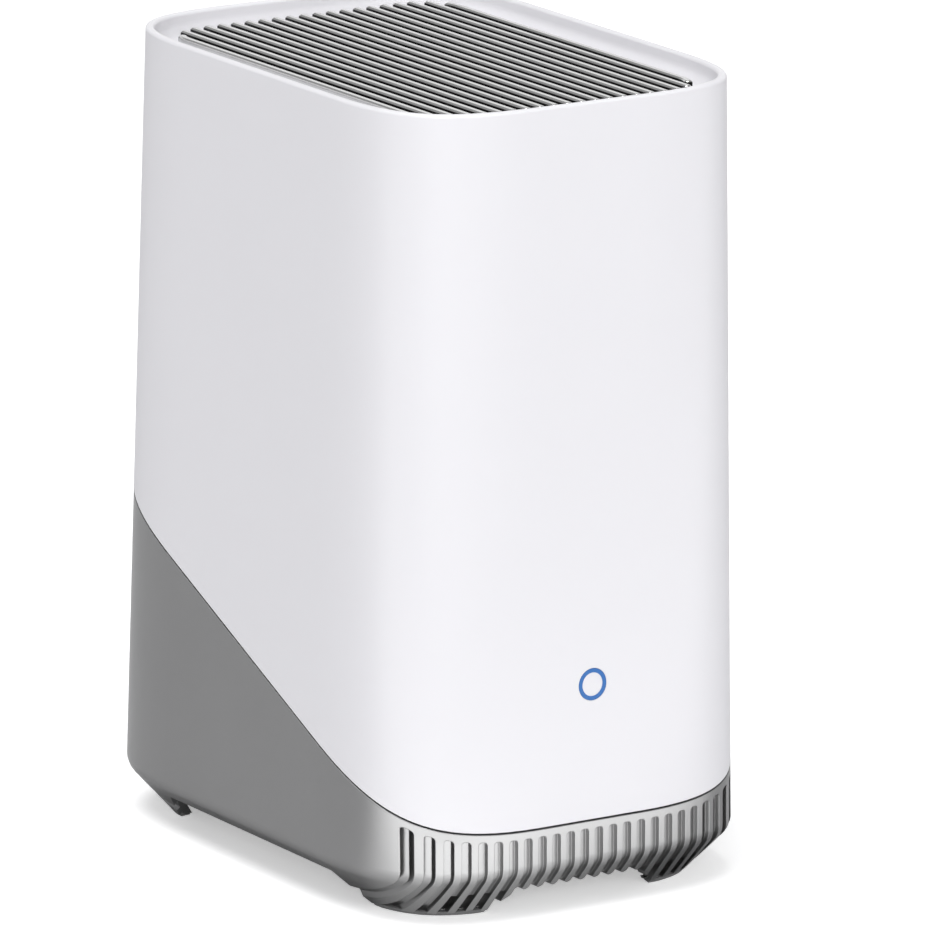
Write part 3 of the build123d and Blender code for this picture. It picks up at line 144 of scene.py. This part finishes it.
housing_material = skin_material(
    "metallic_grey",
    housing_light,
    housing_dark,
    gloss=0.26,
    dull=0.32,
    depth=0.0000003,
    metal=1.0,
)
housing_tree = housing_material.node_tree
soft_edges = housing_tree.nodes.new("ShaderNodeBevel")
soft_edges.samples = housing_edge_samples
soft_edges.inputs["Radius"].default_value = housing_edge
housing_tree.links.new(soft_edges.outputs["Normal"], housing_tree.nodes["relief"].inputs["Normal"])
finish_nodes(housing_material, "base_housing")

# Foot pads. Four strips of grey rubber, glued under the feet of the base. Each laps up over the
# lower edge of its foot and follows the foot's slope, so that one even line closes the lower ends
# of the slots. The gasket under the speaker is cut from the same rubber.
rubber_light = (0.24, 0.24, 0.24)
rubber_dark = (0.19, 0.19, 0.19)
pad_inset = 0.0008
pad_proud = 0.0001
pad_slope = 0.878
pad_rise = 1.9
pad_weld = 0.000001
pad_crease = radians(30)
least_outward = 0.2

pad_material = skin_material(
    "pad_rubber", rubber_light, rubber_dark, gloss=0.7, dull=0.85, depth=0.00002, grain=1500
)
scene = bpy.context.scene
pad_strips = bpy.data.objects.new("pad_strips", nodes["foot_pads"].data.copy())
scene.collection.objects.link(pad_strips)
pad_shape = bmesh.new()
pad_shape.from_mesh(pad_strips.data)
bmesh.ops.remove_doubles(pad_shape, verts=pad_shape.verts, dist=pad_weld)
pad_shape.normal_update()
# Each solid pad lies inside the edge of its foot. The strip is taller than it, and its outer side
# is pushed out past that edge and along the foot's slope.
for point in pad_shape.verts:
    outward = Vector((point.normal.x, point.normal.y, 0))
    point.co.z *= pad_rise
    if outward.length > least_outward and outward.dot(point.co) > 0:
        point.co += outward.normalized() * (pad_inset + pad_proud + pad_slope * point.co.z)
pad_shape.to_mesh(pad_strips.data)
pad_shape.free()
if "custom_normal" in pad_strips.data.attributes:
    pad_strips.data.attributes.remove(pad_strips.data.attributes["custom_normal"])
pad_strips.data.set_sharp_from_angle(angle=pad_crease)
pad_strips.data.materials.clear()
pad_strips.data.materials.append(pad_material)
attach(pad_strips, "base")
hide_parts("foot_pads")
finish_nodes(pad_material, "foot_pads", "speaker_gasket")

# Speaker cone and magnet. The cone is pressed from doped black paper and glued into its basket,
# over the sound holes in the floor. The magnet sits on the back of the basket, plated like it.
cone_light = (0.04, 0.04, 0.042)
cone_dark = (0.025, 0.025, 0.027)
magnet_light = (0.3, 0.3, 0.31)
magnet_dark = (0.24, 0.24, 0.25)

cone_material = skin_material(
    "cone_paper", cone_light, cone_dark, gloss=0.75, dull=0.9, depth=0.00004, grain=900
)
finish_nodes(cone_material, "speaker_cone")
magnet_material = skin_material(
    "magnet_plate", magnet_light, magnet_dark, gloss=0.3, dull=0.45, depth=0.000003, metal=1.0
)
finish_nodes(magnet_material, "speaker_magnet")

# Sheet steel. The chassis, the drive cage, the speaker's basket, and the cans of the radio, of the
# two switches and of one rear socket. All are stamped from rolled, zinc plated sheet and bent, and
# the grain of the rolling runs along the height.
sheet_light = (0.60, 0.60, 0.61)
sheet_dark = (0.50, 0.50, 0.52)

sheet_material = skin_material(
    "rolled_steel",
    sheet_light,
    sheet_dark,
    gloss=0.3,
    dull=0.45,
    depth=0.000003,
    metal=1.0,
    clouds=25,
    grain=1200,
    stretch=(1, 1, 0.06),
)
finish_nodes(
    sheet_material,
    "chassis",
    "drive_cage",
    "radio_shield",
    "usb_port",
    "sync_switch",
    "reset_switch",
    "speaker_basket",
)

# Circuit boards. The main board, the small boards of the drive socket and of the ring light, and
# the two antennas on the flaps of the chassis. They are glass fibre with copper tracks, which show
# faintly through the green lacquer.
board_light = (0.015, 0.11, 0.05)
board_dark = (0.01, 0.075, 0.035)

board_material = skin_material(
    "board_lacquer",
    board_light,
    board_dark,
    gloss=0.3,
    dull=0.4,
    depth=0.000006,
    clouds=260,
    grain=900,
)
finish_nodes(
    board_material, "main_board", "sata_board", "light_board", "antenna_front", "antenna_rear"
)

# Chips. The processor and the memory, moulded in black epoxy with a dull, finely pitted top, and
# soldered to the main board.
chip_light = (0.03, 0.03, 0.032)
chip_dark = (0.02, 0.02, 0.022)

chip_material = skin_material(
    "chip_black", chip_light, chip_dark, gloss=0.5, dull=0.65, depth=0.000004
)
finish_nodes(chip_material, "processor", "memory_chips")

# Thermal pad. A soft square of grey blue filled silicone, cut from sheet and pressed between the
# processor and the heat sink.
thermal_light = (0.25, 0.28, 0.33)
thermal_dark = (0.2, 0.23, 0.28)

thermal_material = skin_material(
    "thermal_pad", thermal_light, thermal_dark, gloss=0.7, dull=0.8, depth=0.00001
)
finish_nodes(thermal_material, "thermal_pad")

# Heat sink and capacitors. The sink and the capacitors' cans are drawn in bare aluminium, with
# fine lines along the draw. Pins hold the sink to the main board, and the cans are soldered on.
aluminium_light = (0.75, 0.76, 0.77)
aluminium_dark = (0.66, 0.67, 0.68)

aluminium_material = skin_material(
    "drawn_aluminium",
    aluminium_light,
    aluminium_dark,
    gloss=0.28,
    dull=0.4,
    depth=0.000003,
    metal=1.0,
    clouds=40,
    grain=1500,
    stretch=(1, 0.06, 1),
)
finish_nodes(aluminium_material, "heat_sink", "capacitors")

# Black mouldings. The bodies of the sockets, the plungers of the switches, the pins of the heat
# sink, and the fan's frame and blades. All are moulded in a black plastic with a faint texture.
black_light = (0.022, 0.022, 0.024)
black_dark = (0.014, 0.014, 0.015)

black_material = skin_material(
    "moulded_black", black_light, black_dark, gloss=0.4, dull=0.55, depth=0.000004
)
finish_nodes(
    black_material,
    "fan_frame",
    "fan_rotor",
    "lan_jack",
    "usb_tongue",
    "power_jack",
    "sata_socket",
    "sync_plunger",
    "reset_plunger",
    "sink_pins",
)

# Contacts. The wires of the network socket and the centre pin of the power socket, formed from
# brass, plated with gold and pressed into the black bodies.
gold_light = (0.78, 0.55, 0.20)
gold_dark = (0.7, 0.48, 0.17)

contact_material = skin_material(
    "gold_plate",
    gold_light,
    gold_dark,
    gloss=0.2,
    dull=0.3,
    depth=0.000001,
    metal=1.0,
    clouds=300,
)
finish_nodes(contact_material, "lan_contacts", "power_pin")

# Fan coil. Lacquered copper wire, wound on the fixed core in the middle of the fan, under the hub
# of the blades.
copper_light = (0.52, 0.20, 0.09)
copper_dark = (0.40, 0.14, 0.06)

coil_material = skin_material(
    "coil_copper",
    copper_light,
    copper_dark,
    gloss=0.3,
    dull=0.45,
    depth=0.00004,
    metal=0.9,
    clouds=60,
    grain=900,
    stretch=(0.2, 0.2, 3),
)
finish_nodes(coil_material, "fan_stator")

# Light chip. The pale lamp that lights the ring from behind, a small block of clear resin over
# white ceramic, soldered to the round light board.
resin_light = (0.85, 0.88, 0.9)
resin_dark = (0.75, 0.8, 0.85)

resin_material = skin_material(
    "lamp_chip", resin_light, resin_dark, gloss=0.2, dull=0.3, depth=0.000002
)
finish_nodes(resin_material, "light_chip")

# Screws. Turned and plated steel, with their heads bare. They hold the chassis, the drive cage,
# the boards, the speaker, the fan and the bay cover.
screw_light = (0.62, 0.62, 0.63)
screw_dark = (0.5, 0.5, 0.51)

screw_material = skin_material(
    "screw_steel",
    screw_light,
    screw_dark,
    gloss=0.25,
    dull=0.35,
    depth=0.000002,
    metal=1.0,
    clouds=500,
)
finish_nodes(
    screw_material,
    "base_screws",
    "bay_screws",
    "board_screws",
    "cage_screws",
    "fan_screws",
    "light_screws",
    "sata_screws",
    "speaker_screws",
)

# Bay cover and sync button. The cover closes the drive bay from below with its two screws, and the
# button sits in the rear wall. Both are moulded in a plain dark grey plastic and left uncoated.
plain_light = (0.20, 0.20, 0.205)
plain_dark = (0.17, 0.17, 0.175)

plain_material = skin_material(
    "plain_grey", plain_light, plain_dark, gloss=0.45, dull=0.6, depth=0.000004
)
finish_nodes(plain_material, "bay_cover", "sync_button")

# Outer shell. The white cover, which goes down over all of this onto the tongue of the base. It is
# moulded in one piece with its rim and the cove inside it, in a plastic with a smooth satin skin.
# The core of the ring light is moulded in the same plastic.
shell_light = (0.812, 0.806, 0.832)
shell_dark = (0.800, 0.794, 0.820)

shell_material = skin_material(
    "white_satin", shell_light, shell_dark, gloss=0.34, dull=0.40, depth=0.0000006
)
finish_nodes(shell_material, "outer_shell", "light_core")

# Ring light. A thin ring of clear plastic, pressed into the front of the shell round its white
# core. The chip behind it makes it glow an even blue.
ring_blue = (0.003, 0.095, 0.330)
ring_pale = (0.006, 0.115, 0.370)
ring_glow = 0.18

ring_material = skin_material(
    "ring_light", ring_blue, ring_pale, gloss=0.25, dull=0.35, depth=0.0000005, clouds=400
)
ring_tree = ring_material.node_tree
ring_shader = ring_tree.nodes["Principled BSDF"]
ring_tree.links.new(ring_tree.nodes["skin"].outputs["Colour"], ring_shader.inputs["Emission Color"])
ring_shader.inputs["Emission Strength"].default_value = ring_glow
finish_nodes(ring_material, "light_ring")

# Top grille. One moulding of 21 ribs on the seat inside the rim, with a metallic grey coat like
# the base. Below the rounded tops of the ribs the colour is painted black, as painted shade in the
# gaps between them. The outermost ribs keep their grey all the way down, without painted shade.
grille_light = (0.77, 0.77, 0.77)
grille_dark = (0.71, 0.71, 0.71)
grille_gap_shade = (0.012, 0.012, 0.012, 1)
rib_shade_full_below = 0.19441
rib_shade_clear_above = 0.19457
outer_rib_unshaded_start = 0.0394
outer_rib_unshaded_full = 0.0398


def feed(tree, source, socket):
    """Links the socket to another node's output, or gives it a fixed value."""
    if isinstance(source, bpy.types.NodeSocket):
        tree.links.new(source, socket)
    else:
        socket.default_value = source


def sum_of(tree, operation, *sources):
    """Value that one sum makes of the sources."""
    sum_node = tree.nodes.new("ShaderNodeMath")
    sum_node.operation = operation
    for number, source in enumerate(sources):
        feed(tree, source, sum_node.inputs[number])
    return sum_node.outputs[0]


def rise_between(tree, source, start, end, top=1.0):
    """Value that goes from nought at the start to the top at the end, and is level past them."""
    rise = tree.nodes.new("ShaderNodeMapRange")
    rise.inputs["From Min"].default_value = start
    rise.inputs["From Max"].default_value = end
    rise.inputs["To Max"].default_value = top
    tree.links.new(source, rise.inputs["Value"])
    return rise.outputs["Result"]


def blend_colours(tree, share, first, second):
    """Colour that goes from the first to the second as the share goes from nought to one."""
    blend = tree.nodes.new("ShaderNodeMix")
    blend.data_type = "RGBA"
    tree.links.new(share, blend.inputs["Factor"])
    feed(tree, first, blend.inputs["A"])
    feed(tree, second, blend.inputs["B"])
    return blend.outputs["Result"]


grille_material = skin_material(
    "grille_grey",
    grille_light,
    grille_dark,
    gloss=0.19,
    dull=0.25,
    depth=0.0000003,
    metal=1.0,
)
grille_tree = grille_material.node_tree
# Painted shade: below the rib tops the grey goes over to black in the gaps, but not on the
# outermost ribs.
grille_place = grille_tree.nodes.new("ShaderNodeTexCoord")
grille_axes = grille_tree.nodes.new("ShaderNodeSeparateXYZ")
grille_tree.links.new(grille_place.outputs["Object"], grille_axes.inputs[0])
rib_unshaded = rise_between(grille_tree, grille_axes.outputs["Z"], rib_shade_full_below, rib_shade_clear_above)
side_distance = sum_of(grille_tree, "ABSOLUTE", grille_axes.outputs["X"])
side_unshaded = rise_between(grille_tree, side_distance, outer_rib_unshaded_start, outer_rib_unshaded_full)
unshaded_share = sum_of(grille_tree, "MAXIMUM", rib_unshaded, side_unshaded)
coat_colour = grille_tree.nodes["skin"].outputs["Colour"]
rib_colour_with_painted_shade = blend_colours(grille_tree, unshaded_share, grille_gap_shade, coat_colour)
grille_shader = grille_tree.nodes["Principled BSDF"]
grille_tree.links.new(rib_colour_with_painted_shade, grille_shader.inputs["Base Color"])
finish_nodes(grille_material, "top_grille")

# Floor. The matt white sheet of a photo table, which the station stands on. Only the grey metal
# sees two painted marks on it: a painted reflection, a glowing patch in front of the body, and,
# mirrored below the bend of the base, painted shade over the outline of the body.
floor_half = 6.0
floor_colour = (0.75, 0.75, 0.755, 1)
floor_seen_colour = (0.97, 0.97, 0.97, 1)
floor_seen_lift = 0.40
floor_roughness = 0.9
floor_shine = 0.1
lift_colour = (1, 1, 1, 1)
# Painted reflection: a glow on the floor in front of the body, which only the metal sees.
painted_patch_glow = 3.6
patch_direction = (-0.31, -0.951, 0)
patch_from = 0.055
patch_full = 0.165
patch_fade = 0.175
patch_end = 0.215
# Painted shade on the floor under the body, which only the metal sees.
shade_half = (0.054, 0.073, 0)
shade_from = -0.002
shade_end = 0.010
painted_shade_colour = (0.55, 0.55, 0.555, 1)

bpy.ops.mesh.primitive_plane_add(size=2 * floor_half, location=(0, 0, 0))
floor = bpy.context.object
floor.name = "floor"
floor_material = bpy.data.materials.new("floor_sheet")
floor_material.use_nodes = True
floor_tree = floor_material.node_tree
floor_shader = floor_tree.nodes["Principled BSDF"]
floor_paths = floor_tree.nodes.new("ShaderNodeLightPath")
floor_seen = floor_paths.outputs["Is Camera Ray"]
floor_mirrored = floor_paths.outputs["Is Glossy Ray"]
floor_place = floor_tree.nodes.new("ShaderNodeTexCoord")

# The painted reflection rises with the distance in front of the body, and fades out further on.
patch_reach = floor_tree.nodes.new("ShaderNodeVectorMath")
patch_reach.operation = "DOT_PRODUCT"
patch_reach.inputs[1].default_value = patch_direction
floor_tree.links.new(floor_place.outputs["Object"], patch_reach.inputs[0])
patch_start = rise_between(
    floor_tree, patch_reach.outputs["Value"], patch_from, patch_full, painted_patch_glow
)
patch_close = rise_between(floor_tree, patch_reach.outputs["Value"], patch_end, patch_fade)
painted_patch_shape = sum_of(floor_tree, "MULTIPLY", patch_start, patch_close)
painted_reflection_glow = sum_of(floor_tree, "MULTIPLY", floor_mirrored, painted_patch_shape)
floor_lift_and_painted_patch = sum_of(floor_tree, "MULTIPLY_ADD", floor_seen, floor_seen_lift, painted_reflection_glow)

# The painted shade, seen only in the metal, fills the outline of the body, with a soft edge.
from_middle = floor_tree.nodes.new("ShaderNodeVectorMath")
from_middle.operation = "ABSOLUTE"
floor_tree.links.new(floor_place.outputs["Object"], from_middle.inputs[0])
past_body = floor_tree.nodes.new("ShaderNodeVectorMath")
past_body.operation = "SUBTRACT"
past_body.inputs[1].default_value = shade_half
floor_tree.links.new(from_middle.outputs[0], past_body.inputs[0])
past_axes = floor_tree.nodes.new("ShaderNodeSeparateXYZ")
floor_tree.links.new(past_body.outputs[0], past_axes.inputs[0])
past_most = sum_of(floor_tree, "MAXIMUM", past_axes.outputs["X"], past_axes.outputs["Y"])
painted_under_shade = rise_between(floor_tree, past_most, shade_end, shade_from)
painted_shade_in_metal = sum_of(floor_tree, "MULTIPLY", floor_mirrored, painted_under_shade)
unseen_tone_with_painted_shade = blend_colours(floor_tree, painted_shade_in_metal, floor_colour, painted_shade_colour)
floor_tone = blend_colours(floor_tree, floor_seen, unseen_tone_with_painted_shade, floor_seen_colour)

floor_tree.links.new(floor_tone, floor_shader.inputs["Base Color"])
floor_tree.links.new(floor_lift_and_painted_patch, floor_shader.inputs["Emission Strength"])
floor_shader.inputs["Emission Color"].default_value = lift_colour
floor_shader.inputs["Roughness"].default_value = floor_roughness
floor_shader.inputs["Specular IOR Level"].default_value = floor_shine
floor.data.materials.append(floor_material)

# Backdrop. White paper hung all round, as the camera and the glossy pieces see it. Overhead it
# falls off to grey, so that the metal mirrors no white ceiling. Matt surfaces take a dimmer, even
# light from it.
surround_colour = (0.98, 0.98, 1.0, 1)
surround_strength = 0.42
backdrop_colour = (1, 1, 1, 1)
backdrop_strength = 1
ceiling_colour = (0.30, 0.30, 0.30, 1)
ceiling_from = 0.25
ceiling_full = 0.50

world = bpy.data.worlds.new("room")
world.use_nodes = True
scene.world = world
room = world.node_tree
room.nodes.clear()
room_paths = room.nodes.new("ShaderNodeLightPath")
room_mirrored = sum_of(
    room,
    "MAXIMUM",
    room_paths.outputs["Is Glossy Ray"],
    room_paths.outputs["Is Transmission Ray"],
)
room_seen = sum_of(room, "MAXIMUM", room_paths.outputs["Is Camera Ray"], room_mirrored)
room_place = room.nodes.new("ShaderNodeTexCoord")
room_axes = room.nodes.new("ShaderNodeSeparateXYZ")
room.links.new(room_place.outputs["Generated"], room_axes.inputs[0])
overhead = rise_between(room, room_axes.outputs["Z"], ceiling_from, ceiling_full)
paper_tone = blend_colours(room, overhead, backdrop_colour, ceiling_colour)
backdrop = room.nodes.new("ShaderNodeBackground")
room.links.new(paper_tone, backdrop.inputs["Color"])
backdrop.inputs["Strength"].default_value = backdrop_strength
surround = room.nodes.new("ShaderNodeBackground")
surround.inputs["Color"].default_value = surround_colour
surround.inputs["Strength"].default_value = surround_strength
either = room.nodes.new("ShaderNodeMixShader")
room.links.new(room_seen, either.inputs["Fac"])
room.links.new(surround.outputs[0], either.inputs[1])
room.links.new(backdrop.outputs[0], either.inputs[2])
room_out = room.nodes.new("ShaderNodeOutputWorld")
room.links.new(either.outputs[0], room_out.inputs["Surface"])

# Lamps. Three round soft boxes with white cloth fronts on stands, all aimed at the middle of the
# station. Two large ones light it from the front and from overhead, and a smaller one at the left
# gives the near corner its bright band.
lamp_aim = Vector((0, 0, 0.0985))
lamps = (
    ("lamp_front", Vector((0.2, -2.8, 1.2)), 1.4, 19.5),
    ("lamp_corner", Vector((-1.6, -2.4, 0.9)), 0.8, 23),
    ("lamp_top", Vector((-0.6, 0.0, 2.8)), 2.0, 46),
)

for lamp_name, lamp_place, lamp_width, lamp_watts in lamps:
    lamp_data = bpy.data.lights.new(lamp_name, "AREA")
    lamp_data.shape = "DISK"
    lamp_data.size = lamp_width
    lamp_data.energy = lamp_watts
    lamp = bpy.data.objects.new(lamp_name, lamp_data)
    lamp.location = lamp_place
    lamp.rotation_euler = (lamp_aim - lamp_place).to_track_quat("-Z", "Y").to_euler()
    scene.collection.objects.link(lamp)

# Camera. It stands to the left of the front and a little above, far off with a long lens, so that
# upright lines stay nearly parallel. It is turned by half a degree and shifted, as the photo is.
camera_turn = radians(-32.991)
camera_rise = radians(14.130)
camera_roll = radians(0.579)
camera_distance = 2.500392
camera_target = Vector((0, 0, 0.0985))
camera_lens = 395.34
camera_shift = (0.0418, -0.0248)
camera_reach = 20

view_back = Vector(
    (
        sin(camera_turn) * cos(camera_rise),
        -cos(camera_turn) * cos(camera_rise),
        sin(camera_rise),
    )
)
level_right = Vector((cos(camera_turn), sin(camera_turn), 0))
level_up = view_back.cross(level_right)
view_right = cos(camera_roll) * level_right + sin(camera_roll) * level_up
view_up = cos(camera_roll) * level_up - sin(camera_roll) * level_right
camera_data = bpy.data.cameras.new("camera")
camera_data.lens = camera_lens
camera_data.shift_x, camera_data.shift_y = camera_shift
camera_data.clip_end = camera_reach
camera = bpy.data.objects.new("camera", camera_data)
camera.matrix_world = Matrix.Translation(camera_target + camera_distance * view_back) @ Matrix(
    (view_right, view_up, view_back)
).transposed().to_4x4()
scene.collection.objects.link(camera)
scene.camera = camera
scene.view_settings.view_transform = "Standard"
